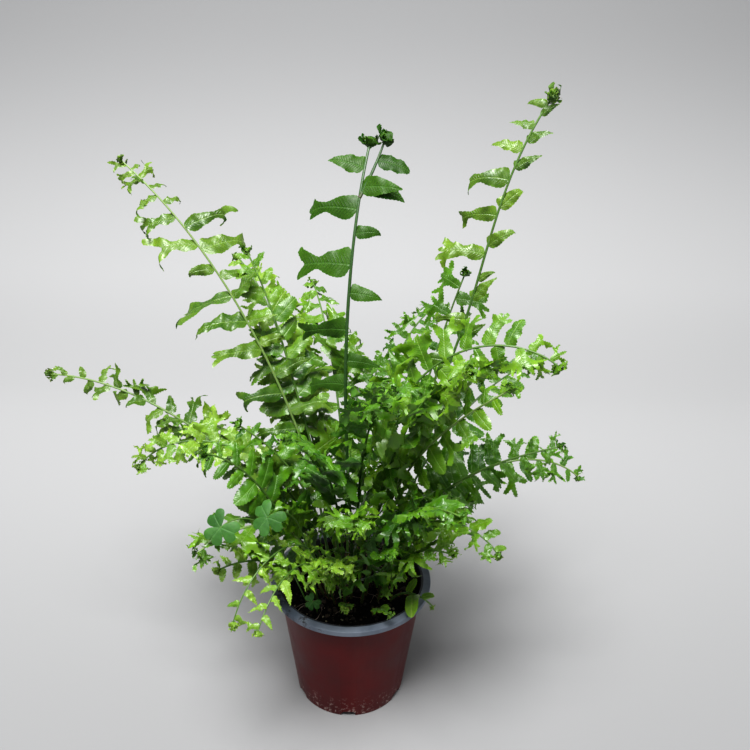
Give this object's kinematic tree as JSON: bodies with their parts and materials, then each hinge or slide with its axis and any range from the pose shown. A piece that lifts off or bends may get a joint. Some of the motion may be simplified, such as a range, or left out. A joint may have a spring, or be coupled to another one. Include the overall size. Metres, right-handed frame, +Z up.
{
  "type": "potted fishtail fern",
  "caption": "Young fishtail fern with forked, waved leaflets on arching fronds, in a small tapered nursery pot filled with potting mix.",
  "frame": {"origin": "centre of the pot's flat base, on the surface it stands on", "axes": "+Z up along the pot's axis; -Y towards the viewer of the picture, +X to the viewer's right"},
  "size_m": [0.2925, 0.2223, 0.3336],
  "materials": {
    "pot": "dark brick red moulded plastic with a slight gloss and pale mineral marks, lip worn to blue grey",
    "soil": "loose dark moist potting mix of peat, bark and pale grit",
    "bright_frond": "waxy bright yellow-green frond, faintly veined",
    "fresh_frond": "waxy fresh green frond, faintly veined",
    "middle_frond": "waxy mid green frond, faintly veined",
    "deep_frond": "waxy deep green frond, faintly veined",
    "sorrel": "matt blue-green heart-shaped leaflets"
  },
  "bodies": {
    "root": {"frond_back_arch": "fresh_frond", "frond_back_far": "middle_frond", "frond_back_left_arch": "bright_frond", "frond_back_left_low": "fresh_frond", "frond_back_left_tall": "fresh_frond", "frond_back_low": "middle_frond", "frond_back_right": "middle_frond", "frond_back_upright": "fresh_frond", "frond_beside_tall": "middle_frond", "frond_front_left": "middle_frond", "frond_front_low": "fresh_frond", "frond_front_right": "middle_frond", "frond_front_short": "middle_frond", "frond_front_tall": "middle_frond", "frond_left_arch": "bright_frond", "frond_left_broad": "middle_frond", "frond_left_inner": "middle_frond", "frond_left_low": "fresh_frond", "frond_left_reach": "middle_frond", "frond_left_short": "fresh_frond", "frond_left_skirt": "bright_frond", "frond_right_arch": "bright_frond", "frond_right_droop": "middle_frond", "frond_right_low": "fresh_frond", "frond_right_middle": "middle_frond", "frond_right_reach": "fresh_frond", "frond_right_short": "fresh_frond", "frond_spill_inner": "bright_frond", "frond_spill_outer": "bright_frond", "frond_star": "fresh_frond", "frond_tall_centre": "deep_frond", "frond_tall_left": "fresh_frond", "frond_tall_right": "middle_frond", "frond_young_left": "bright_frond", "frond_young_right": "fresh_frond", "frond_young_rim": "fresh_frond", "pot": "pot", "soil": "soil", "sorrel_left": "sorrel", "sorrel_left_high": "sorrel", "sorrel_small": "sorrel"}
  },
  "joints": []
}
